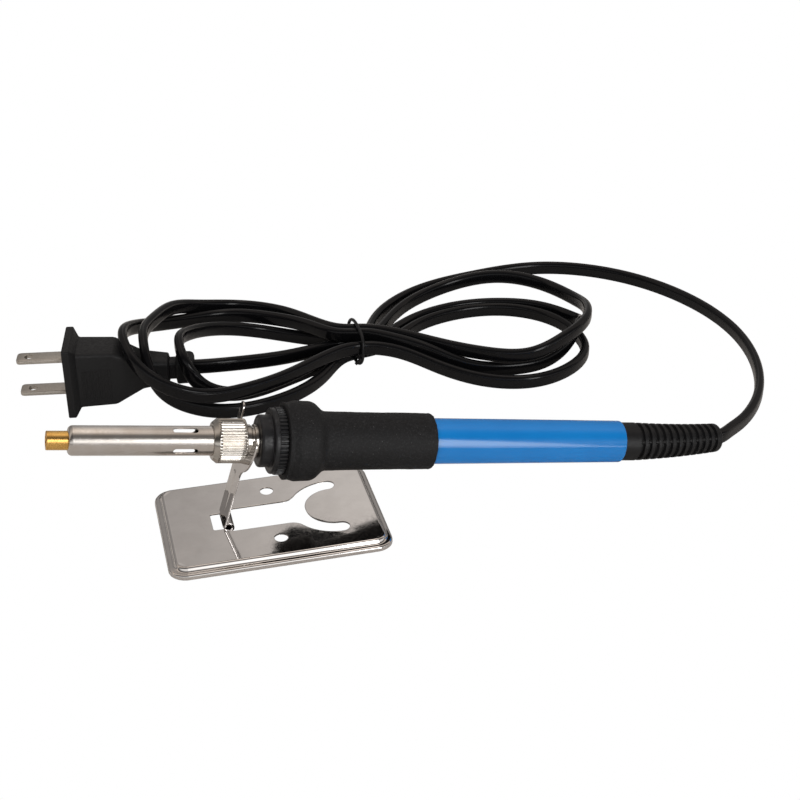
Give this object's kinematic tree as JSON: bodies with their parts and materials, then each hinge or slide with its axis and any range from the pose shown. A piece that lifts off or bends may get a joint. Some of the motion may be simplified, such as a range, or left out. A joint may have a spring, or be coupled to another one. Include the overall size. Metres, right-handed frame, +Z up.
{
  "type": "soldering iron",
  "caption": "Pencil soldering iron with foam grip, knurled barrel nut and ribbed boot, on a folding sheet-metal stand, with coiled flat mains cord and two-blade plug.",
  "frame": {"origin": "centre of the stand plate, on the table (the place of mount stand_foot)", "axes": "+X along the stand plate and the iron, from tip to handle; +Y towards the coiled cord; +Z up"},
  "size_m": [0.2721, 0.1772, 0.045],
  "materials": {
    "brass": "satin turned brass",
    "stainless": "satin stainless tube",
    "nickel": "bright nickel plate, straight knurl on the nut",
    "stand_nickel": "mirror-bright nickel-plated sheet",
    "ceramic": "fired white ceramic",
    "black_resin": "satin black heat-resistant resin",
    "blue_plastic": "glossy blue moulded plastic",
    "foam": "fine-celled black foam",
    "boot_black": "semi-gloss black flexible moulding",
    "cord_black": "glossy black flexible PVC",
    "plug_black": "matte black moulded PVC",
    "sleeving": "woven glass-fibre sleeving",
    "core_white": "white core insulation",
    "zinc_steel": "zinc-plated steel"
  },
  "bodies": {
    "stand_and_cord": {"stand_base": "stand_nickel", "cord": "cord_black", "cord_tie": "boot_black", "plug_body": "plug_black", "plug_insert": "black_resin", "plug_blades": "nickel", "blade_crimps": "nickel", "plug_cores": "core_white", "plug_cord": "cord_black"},
    "fork": {"stand_fork": "stand_nickel"},
    "iron": {"heater_rod": "ceramic", "heater_mount": "ceramic", "heater_leads": "nickel", "lead_sleeves": "sleeving", "splice_crimps": "nickel", "threaded_ferrule": "nickel", "front_collar": "black_resin", "ferrule_locknut": "zinc_steel", "handle_tube": "blue_plastic", "grip_sleeve": "foam", "handle_cord": "cord_black", "handle_cores": "core_white", "cord_clamp": "zinc_steel", "strain_relief": "boot_black"},
    "barrel": {"barrel_sleeve": "stainless"},
    "nut": {"union_nut": "nickel"},
    "tip": {"tip_adapter": "brass"}
  },
  "joints": [
    {"name": "iron_lift", "type": "hinge", "parent": "stand_and_cord", "child": "iron", "pos_m": [0.15521, 0.0049, 0.00959], "axis": [0, 1, 0], "range_deg": [0, 60]},
    {"name": "fork_fold", "type": "hinge", "parent": "stand_and_cord", "child": "fork", "pos_m": [-0.0142, 0, 0.0027], "axis": [0, 1, 0], "range_deg": [0, 73]},
    {"name": "barrel_slide", "type": "slide", "parent": "iron", "child": "barrel", "axis": [-0.9865, -0.0138, 0.1633], "range_m": [0, 0.00501]},
    {"name": "nut_turn", "type": "hinge", "parent": "barrel", "child": "nut", "pos_m": [-0.01211, -0.0001, 0.03239], "axis": [-0.9865, -0.0138, 0.1633], "range_deg": [0, 1800]},
    {"name": "tip_slide", "type": "slide", "parent": "iron", "child": "tip", "axis": [-0.9865, -0.0138, 0.1633], "range_m": [0, 0.00501]}
  ],
  "couplings": [
    {"joint": "fork_fold", "follows": "iron_lift", "ratio": 1.216},
    {"joint": "barrel_slide", "follows": "nut_turn", "m_per_rad": 0.00015915},
    {"joint": "tip_slide", "follows": "nut_turn", "m_per_rad": 0.00015915}
  ]
}
